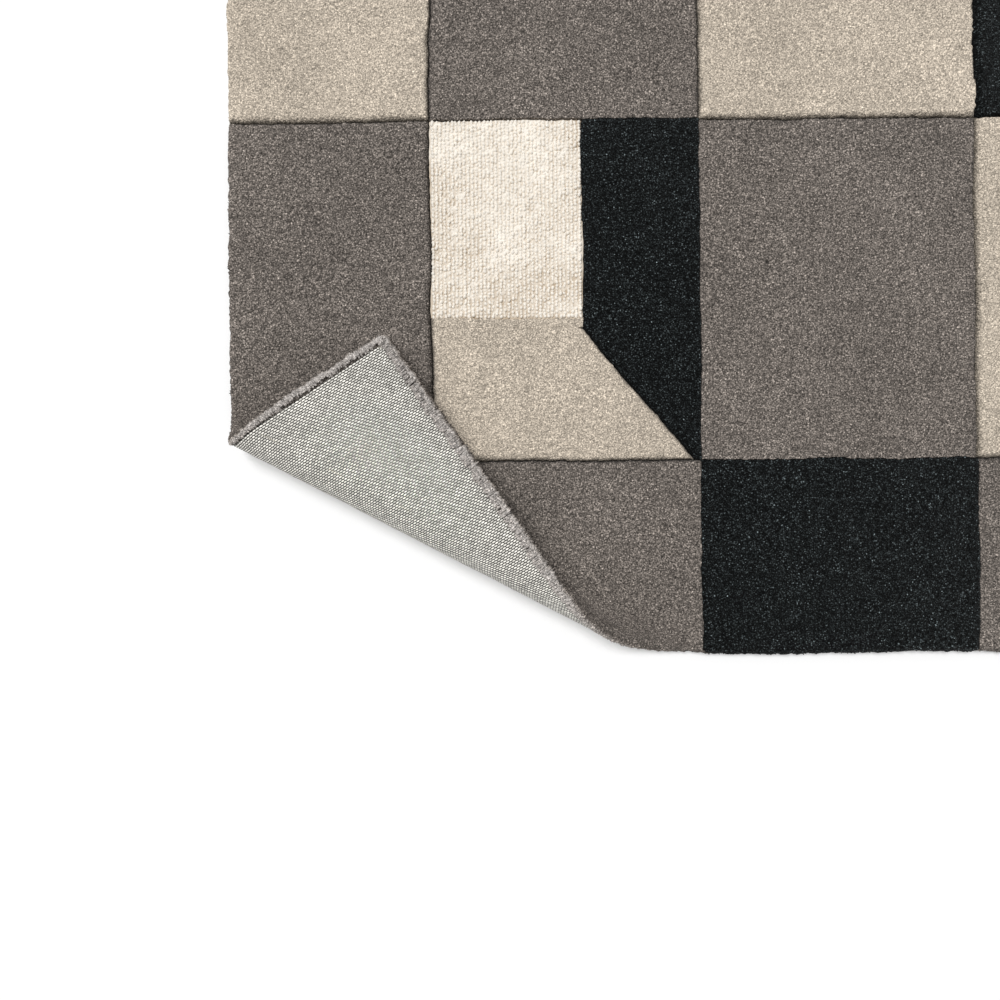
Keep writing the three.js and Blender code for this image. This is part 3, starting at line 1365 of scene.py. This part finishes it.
@dataclass(frozen=True)
class Pattern:
    """The blocks of pile on the field, each in the place of its node."""

    nodes: Sequence[str]
    slots: dict[str, str]
    elbow_drop: float = 11 * MM  # from the looped block's edge to the motif's elbow
    centre_slant: float = 150 * MM  # how far the middle block's slanted seam runs across
    seam_gap: float = 0.35 * MM
    neighbour: float = 6 * MM  # how far past a side the next block is looked for

    YARNS = {"taupe_pile": TAUPE, "black_pile": BLACK, "beige_pile": BEIGE}

    def box(self, node: str) -> tuple[Vectors, Vectors]:
        """A node's outline in plan."""
        low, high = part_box(node)
        return np.array(low[:2]), np.array(high[:2])

    def border(self, node: str, point: Vectors, out: Vectors) -> Border:
        """What a side of a block meets just past its middle.

        Args:
            node: The block's node.
            point: The middle of the side.
            out: The direction out of the block.

        Returns:
            What the side meets.
        """
        axis = np.abs(out).argmax()
        if min(abs(point[axis] - RUG.low[axis]), abs(point[axis] - RUG.high[axis])) < 10 * ON_LINE:
            return Border.RIM
        pair = {self.slots[node], self.slot_at(point + out * self.neighbour)}
        if CREAM.slot in pair or pair == {TAUPE.slot, BLACK.slot}:
            return Border.SOFT
        return Border.CARVED

    def slot_at(self, place: Vectors) -> str:
        """The finish of the smallest block whose outline holds a place.

        Args:
            place: A place in plan.

        Returns:
            The name of its material slot.
        """
        held = []
        for node in self.nodes:
            low, high = self.box(node)
            if (low < place).all() and (place < high).all():
                held.append(((high - low).prod(), self.slots[node]))
        return min(held)[1] if held else TAUPE.slot

    def rectangle_sides(self, node: str, low: Vectors, high: Vectors) -> list[Side]:
        """The four sides of a block's rectangle.

        Args:
            node: The block's node.
            low: The rectangle's lowest corner.
            high: Its highest corner.

        Returns:
            The sides.
        """
        return [Side(point, out, self.border(node, point, out)) for point, out in block_sides(low, high)]

    def slants(self, node: str) -> list[Side]:
        """The slanted sides of a motif's wedges and of the middle block's halves.

        Args:
            node: The block's node.

        Returns:
            The slanted sides, or none.
        """
        turn = -1.0 if node.endswith("_2") else 1.0
        black_low, black_high = (turn * p for p in self.box("pile_motif_wedge_black_1"))
        beige_low, beige_high = (turn * p for p in self.box("pile_motif_wedge_beige_1"))
        loop_low, loop_high = (turn * p for p in self.box("pile_motif_loop_cream_1"))
        if "wedge" in node:
            black = "black" in node
            foot = np.array([beige_high[0], beige_low[1]])
            elbow = np.array([loop_high[0], loop_low[1] - turn * self.elbow_drop])
            out = np.array([-(elbow - foot)[1], (elbow - foot)[0]])
            out = out / np.linalg.norm(out) * (1 if black else -1)
            if black:
                return [Side(foot - out * self.seam_gap, out, Border.CARVED)]
            below = Side(elbow, np.array([0.0, turn]), Border.CUT)
            above = Side(elbow, np.array([0.0, -turn]), Border.CUT)
            return [
                Side(foot - out * self.seam_gap, out, Border.CARVED, below),
                Side(elbow, np.array([turn, 0.0]), Border.SOFT, above),
            ]
        if "centre" in node:
            low, high = self.box(node)
            out = np.array([2 * self.centre_slant, high[0] - low[0]]) * turn
            out = out / np.linalg.norm(out)
            return [Side(-out * self.seam_gap, out, Border.CARVED)]
        return []

    def blocks(self) -> list[tuple[PileBlock, CutYarn, str]]:
        """Every block of cut pile on the field, with its yarn and node.

        Returns:
            Each block with its yarn and the name of its node.
        """
        found = []
        for node in self.nodes:
            if self.slots[node] not in self.YARNS:
                continue
            low, high = self.box(node)
            if node == "pile_left_border_1":
                low[1] = RUG.low[1]
            if node == "pile_left_end_1":
                low[0] = self.box("pile_left_border_1")[1][0] + GROOVE
            sides = self.rectangle_sides(node, low, high) + self.slants(node)
            if node in ("pile_left_border_1", "pile_left_end_1"):
                sides.append(Side(FOLD.line(0.0), FOLD.out, Border.CUT))
            name = node.removeprefix("pile_") + "_tufts"
            block = PileBlock(name, low, high, tuple(sides))
            found.append((block, self.YARNS[self.slots[node]], node))
        return found


# ---------------------------------------------------------------- loop pile


@dataclass(frozen=True)
class LoopBlock:
    """A block of looped pile: rows of plump rings of yarn, half sunk in a low bed."""

    node: str
    column: float = 4.5 * MM
    stitch: float = 3.7 * MM
    strand: float = 1.8 * MM
    ring: float = 1.1 * MM
    sunk: float = 0.8 * MM  # below the cut pile round it
    bed_drop: float = 2.6 * MM
    bed_pitch: float = 3.5 * MM

    def build(self, seed: int) -> bpy.types.Object:
        """Models the loops of the block.

        Args:
            seed: Picks how the loops stray.

        Returns:
            The loops as one piece.
        """
        low, high = (np.array(corner[:2]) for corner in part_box(self.node))
        stray = np.random.default_rng(seed)
        columns = round((high[0] - low[0]) / self.column)
        stitches = round((high[1] - low[1]) / self.stitch)
        across = low[0] + (np.arange(columns) + 0.5) * (high[0] - low[0]) / columns
        down = low[1] + (np.arange(stitches) + 0.5) * (high[1] - low[1]) / stitches
        centres = np.array([[x, y] for x in across for y in down])
        centres[:, 1] += np.repeat(stray.uniform(-0.5, 0.5, columns), stitches) * self.stitch
        centres += stray.normal(size=centres.shape) * (0.35 * MM, 0.6 * MM)
        centres = np.clip(centres, low + 2 * MM, high - 2 * MM)
        ring = self.ring_of_yarn()
        vertices = points_of(ring)
        yaw = stray.normal(size=len(centres))[:, None] * 0.3
        size = 1 + stray.normal(size=(len(centres), 1, 3)) * (0.1, 0.1, 0.08)
        scaled = vertices[None] * size
        places = scaled.copy()
        places[..., 0] = scaled[..., 0] * np.cos(yaw) - scaled[..., 1] * np.sin(yaw)
        places[..., 1] = scaled[..., 0] * np.sin(yaw) + scaled[..., 1] * np.cos(yaw)
        places[..., :2] += centres[:, None]
        rise = RUG.pile_top - self.ring - self.strand - self.sunk
        rise = rise + sum(hill.at(centres) for hill in SURFACE.hills)
        places[..., 2] += (rise + stray.normal(size=len(centres)) * 0.3 * MM)[:, None]
        loops = copies(self.node.removeprefix("pile_") + "_loops", ring, places)
        remember(loops, "flat", points_of(loops))
        smooth(loops, 180)
        FOLD.attach(loops, 0, 0.0)
        return loops

    def ring_of_yarn(self) -> bpy.types.Object:
        """One ring of yarn, standing in line with its column.

        Returns:
            The ring, which the copies are shaped from.
        """
        bpy.ops.object.select_all(action="DESELECT")
        bpy.ops.mesh.primitive_torus_add(
            major_segments=8,
            minor_segments=5,
            major_radius=self.ring,
            minor_radius=self.strand,
            rotation=(0, math.pi / 2, 0),
        )
        bpy.ops.object.transform_apply(location=True, rotation=True, scale=True)
        return bpy.context.object

    def bed(self) -> PileBlock:
        """The low bed that the loops stand on.

        Returns:
            The bed, ready to build.
        """
        low, high = (np.array(corner[:2]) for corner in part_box(self.node))
        sides = tuple(Side(point, out, Border.SOFT) for point, out in block_sides(low, high))
        name = self.node.removeprefix("pile_") + "_bed"
        return PileBlock(name, low, high, sides, lowered=self.bed_drop, pitch=self.bed_pitch)


# ---------------------------------------------------------------- the turned corner


@dataclass(frozen=True)
class TurnedCorner:
    """What lies past the fold: the pieces of the bend and the flap."""

    seam: float
    row: float
    pitch: float = 2.2 * MM
    # How far to each side of the corner the sheets reach that the strips are cut from
    reach: tuple[float, float] = (140 * MM, 630 * MM)
    end_width: float = 300 * MM

    @classmethod
    def from_frame(cls) -> "TurnedCorner":
        """Reads the groove that runs out over the corner and the row behind it from the nodes.

        Returns:
            The corner.
        """
        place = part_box("pile_motif_wedge_beige_1")[0]
        return cls(seam=place.x - GROOVE / 2, row=place.y)

    def rims(self) -> list[Side]:
        """The two sides of the rug's outline that meet at the corner.

        Returns:
            The left side and the front side.
        """
        return [
            Side(RUG.low, np.array([-1.0, 0.0]), Border.RIM),
            Side(RUG.low, np.array([0.0, -1.0]), Border.RIM),
        ]

    def cuts(self, part: int, border: Border = Border.CUT) -> list[Side]:
        """The sides where a part of the fold meets the parts before and after it.

        Args:
            part: The number of the part.
            border: What the sides meet.

        Returns:
            One side for the flap, and two for a strip.
        """
        found = [Side(FOLD.line((part - 1) * FOLD.strip), -FOLD.out, border)]
        if part <= FOLD.bends:
            found.append(Side(FOLD.line(part * FOLD.strip), FOLD.out, border))
        return found

    def furrow(self) -> Side:
        """The groove that runs out over the corner between the border and the end block."""
        return Side(np.array([self.seam, 0.0]), ACROSS, Border.CARVED)

    def bend_pile(self, part: int) -> PileBlock:
        """The pile on one piece of the bend.

        Args:
            part: The number of the strip, from 1.

        Returns:
            The pile, ready to build.
        """
        near = (part - 1) * FOLD.strip
        corner = (RUG.low - FOLD.start) @ FOLD.along
        low = np.array([corner - self.reach[0], -near - FOLD.strip])
        high = np.array([corner + self.reach[1], -near])
        return PileBlock(
            f"bend_{part}_tufts",
            low,
            high,
            tuple(self.rims() + self.cuts(part)),
            part=part,
            furrows=(self.furrow(),),
            origin=tuple(FOLD.start),
            across=tuple(FOLD.along),
            pitch=self.pitch,
        )

    def flap_pile(self) -> list[PileBlock]:
        """The pile on the flap, in its two blocks.

        Returns:
            The border's block and the end block, ready to build.
        """
        start = Side(FOLD.line(FOLD.length), -FOLD.out, Border.CUT)
        half = GROOVE / 2
        seam = np.array([self.seam, 0.0])
        border = PileBlock(
            "flap_border_tufts",
            RUG.low,
            np.array([self.seam - half, self.row]),
            (*self.rims(), start, Side(seam - (half, 0), ACROSS, Border.CARVED)),
            part=FLAP,
            pitch=self.pitch,
        )
        end = PileBlock(
            "flap_end_tufts",
            np.array([self.seam + half, RUG.low[1]]),
            np.array([self.seam + self.end_width, self.row]),
            (*self.rims(), start, Side(seam + (half, 0), -ACROSS, Border.CARVED)),
            part=FLAP,
            pitch=self.pitch,
        )
        return [border, end]


@dataclass
class ClothPiece:
    """A piece of flat cloth between two heights, cut by straight sides and rolled over the fold."""

    name: str
    bottom: float
    top: float
    part: int
    pitch: float
    blunt: float = 4.5 * MM
    # The sheet that a piece past the fold is cut from, along the fold and out from it
    span: tuple[float, float] = (-300 * MM, 700 * MM)
    flap_depth: float = 200 * MM
    loose_after: float = 40 * MM  # past the fold's start, from where the cloth lies in waves
    area: float = 0.0

    def sides(self) -> list[Side]:
        """The cloth's own edges and the cuts between the parts of the fold.

        Returns:
            The sides, with the blunted tip on the flap.
        """
        inset = RUG.overhang
        found = [
            Side(RUG.low + inset, np.array([-1.0, 0.0]), Border.RIM),
            Side(RUG.low + inset, np.array([0.0, -1.0]), Border.RIM),
            Side(RUG.high - inset, np.array([1.0, 0.0]), Border.RIM),
            Side(RUG.high - inset, np.array([0.0, 1.0]), Border.RIM),
        ]
        if self.part > FOLD.bends:
            bevel = -np.ones(2) / math.sqrt(2)
            found.append(Side(RUG.low + inset - bevel * self.blunt, bevel, Border.RIM))
        if self.part > 0:
            found.append(Side(FOLD.line((self.part - 1) * FOLD.strip), -FOLD.out, Border.CUT))
        if self.part <= FOLD.bends:
            found.append(Side(FOLD.line(self.part * FOLD.strip), FOLD.out, Border.CUT))
        return found

    def build(self) -> bpy.types.Object:
        """Models the piece flat, gives it its thickness and rolls it over the fold.

        Returns:
            The cloth, closed and smooth.
        """
        if self.part == 0:
            piece = flat_sheet(self.name, RUG.low, RUG.high, self.pitch, np.zeros(2), ACROSS)
        else:
            near = (self.part - 1) * FOLD.strip
            far = near + (FOLD.strip if self.part <= FOLD.bends else self.flap_depth)
            low, high = np.array([self.span[0], -far]), np.array([self.span[1], -near])
            piece = flat_sheet(self.name, low, high, self.pitch, FOLD.start, FOLD.along)
        trim(piece, self.sides())
        self.area = float(sum(face.area for face in piece.data.polygons))
        places = points_of(piece)
        loose = np.clip(FOLD.depth(places) / self.loose_after, 0, 1)
        self.fray(places)
        places[:, 2] += self.bottom
        places[:, 2] += loose * np.abs(CLOTH_WAVES.at(places))
        put_points(piece, places)
        select_only(piece)
        wall = piece.modifiers.new("thickness", "SOLIDIFY")
        wall.thickness = self.top - self.bottom
        wall.offset = 1.0
        bpy.ops.object.modifier_apply(modifier=wall.name)
        face_outwards(piece)
        flat = points_of(piece)
        remember(piece, "flat", flat)
        put_points(piece, FOLD.lay(flat))
        smooth(piece, 60)
        FOLD.attach(piece, self.part, self.top + 1 * MM)
        return piece

    def fray(self, places: Vectors) -> None:
        """Lets the cloth's own edges wander a little.

        Args:
            places: The cloth's vertices, which are moved.
        """
        for side in self.sides():
            if side.border is Border.RIM:
                near = np.abs(side.inside(places)) < ON_LINE
                places[near, :2] += side.out * FRAY.at(places[near])[:, None]


CLOTH_WAVES = Unevenness(21, 34 * MM, 0.35 * MM)
FRAY = Unevenness(22, 6 * MM, 0.35 * MM)


# ---------------------------------------------------------------- the studio


@dataclass(frozen=True)
class Studio:
    """A pale floor, soft light from the back left, and a camera that looks straight down."""

    camera_place: tuple[float, float, float] = (-0.3900, -0.8202, 0.650)
    camera_roll: float = -0.0086
    lens: float = 20.0
    floor_size: float = 30.0
    sky: float = 0.46
    lamp: float = 2.3
    lamp_softness: float = 26.0
    lamp_from: tuple[float, float, float] = (-0.30, 0.36, 0.88)

    def build(self) -> None:
        """Sets up the floor, the lights and the camera."""
        self.build_floor()
        self.build_lights()
        data = bpy.data.cameras.new("camera")
        data.lens = self.lens
        data.sensor_width = 36.0
        data.clip_start = 0.01
        camera = bpy.data.objects.new("camera", data)
        camera.location = self.camera_place
        camera.rotation_euler = (0.0, 0.0, self.camera_roll)
        bpy.context.scene.collection.objects.link(camera)
        bpy.context.scene.camera = camera
        bpy.context.scene.view_settings.view_transform = "Standard"

    def build_floor(self) -> None:
        """Lays the floor just under the rug."""
        bpy.ops.object.select_all(action="DESELECT")
        bpy.ops.mesh.primitive_plane_add(size=self.floor_size, location=(0, 0, -0.2 * MM))
        floor = bpy.context.object
        floor.name = "floor"
        board = Board("floor_paint")
        tone = board.spread(board.noise(board.body_place(), 0.4), 0.3, 0.7, 0.995, 1.005)
        floor.data.materials.append(
            board.finish(board.shade(linear(249, 249, 249), tone), roughness=0.9, sheen=0.0, specular=0.1)
        )

    def build_lights(self) -> None:
        """Adds the broad soft lamp and the even light from all round."""
        lamp = bpy.data.lights.new("soft_lamp", "SUN")
        lamp.energy = self.lamp
        lamp.angle = math.radians(self.lamp_softness)
        soft = bpy.data.objects.new("soft_lamp", lamp)
        soft.rotation_euler = Vector(self.lamp_from).to_track_quat("Z", "Y").to_euler()
        bpy.context.scene.collection.objects.link(soft)
        world = bpy.data.worlds.new("studio")
        world.use_nodes = True
        sky = world.node_tree.nodes["Background"]
        sky.inputs["Color"].default_value = (1, 1, 1, 1)
        sky.inputs["Strength"].default_value = self.sky
        bpy.context.scene.world = world


# ---------------------------------------------------------------- putting it together


def dress_hidden_layers(slots: dict[str, str]) -> None:
    """Gives the hems, latex and tufting cloth of the field and flap their finishes.

    Args:
        slots: The material slot of each node.
    """
    cloth, latex = TUFTING_FLAT.material(), LATEX.material()
    for name, node in frame["nodes"].items():
        if slots[name] not in ("tufting_cloth", "latex") or name.startswith("bend_"):
            continue
        node.data.materials.clear()
        node.data.materials.append(latex if slots[name] == "latex" else cloth)
        turned = name.startswith("flap")
        plan = FOLD.flatten(points_of(node)) if turned else points_of(node)[:, :2]
        outline = plan[convex_hull_2d([Vector(place) for place in plan])]


def build_pile(slots: dict[str, str]) -> None:
    """Builds all the pile of the field, the bend and the flap.

    Args:
        slots: The material slot of each node.
    """
    yarns = {yarn.slot: yarn.material() for yarn in (TAUPE, BLACK, BEIGE, CREAM)}
    fields = sorted(name for name in frame["nodes"] if name.startswith("pile_"))
    for seed, (block, yarn, node) in enumerate(Pattern(fields, slots).blocks()):
        piece = block.build(seed)
        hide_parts(node)
        dress(piece, yarns[yarn.slot])
    for seed, node in enumerate(name for name in fields if slots[name] == CREAM.slot):
        block = LoopBlock(node)
        loops, bed = block.build(100 + seed), block.bed().build(110 + seed)
        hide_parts(node)
        for piece in (loops, bed):
            dress(piece, yarns[CREAM.slot])
    corner = TurnedCorner.from_frame()
    for part in range(1, FOLD.bends + 1):
        piece = corner.bend_pile(part).build(200 + part)
        if part < FOLD.bends:
            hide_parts(f"bend_{part}_pile")
        dress(piece, yarns[TAUPE.slot])
    for block, node in zip(corner.flap_pile(), ("flap_pile_border", "flap_pile_end")):
        piece = block.build(300)
        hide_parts(node)
        dress(piece, yarns[TAUPE.slot])


def declare_cloth(piece: bpy.types.Object) -> None:
    """Reads back the flat places kept with a piece of cloth, and does nothing more with them.

    Args:
        piece: The built piece.
    """
    flat = recall(piece, "flat")


def build_cloths() -> None:
    """Builds the backing cloth all over and the stiffened tufting cloth in the bend."""
    backing, tufting = BACKING.material(), TUFTING.material()
    for part in range(FLAP + 1):
        cloth = ClothPiece(f"backing_{part}", 0.0, RUG.backing_top, part, 20 * MM if part == 0 else 3 * MM)
        piece = cloth.build()
        dress(piece, backing)
        nodes = {0: "field_backing_cloth", FLAP: "flap_backing_cloth"}
        if part != FOLD.bends:
            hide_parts(nodes.get(part, f"bend_{part}_backing_cloth"))
        declare_cloth(piece)
    for part in range(1, FLAP):
        cloth = ClothPiece(f"tufting_cloth_{part}", RUG.cloth_low, RUG.cloth_top, part, 5 * MM)
        piece = cloth.build()
        dress(piece, tufting)
        if part != FOLD.bends:
            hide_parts(f"bend_{part}_tufting_cloth")
        declare_cloth(piece)


def main() -> None:
    """Builds the rug from the floor up, then the studio."""
    logging.basicConfig(level=logging.INFO, format="%(name)s %(message)s")
    slots = {part["node"]: part["material_slot"] for part in frame["record"]["subparts"]}
    Studio().build()
    dress_hidden_layers(slots)
    build_cloths()
    build_pile(slots)


if __name__ == "__main__":
    main()
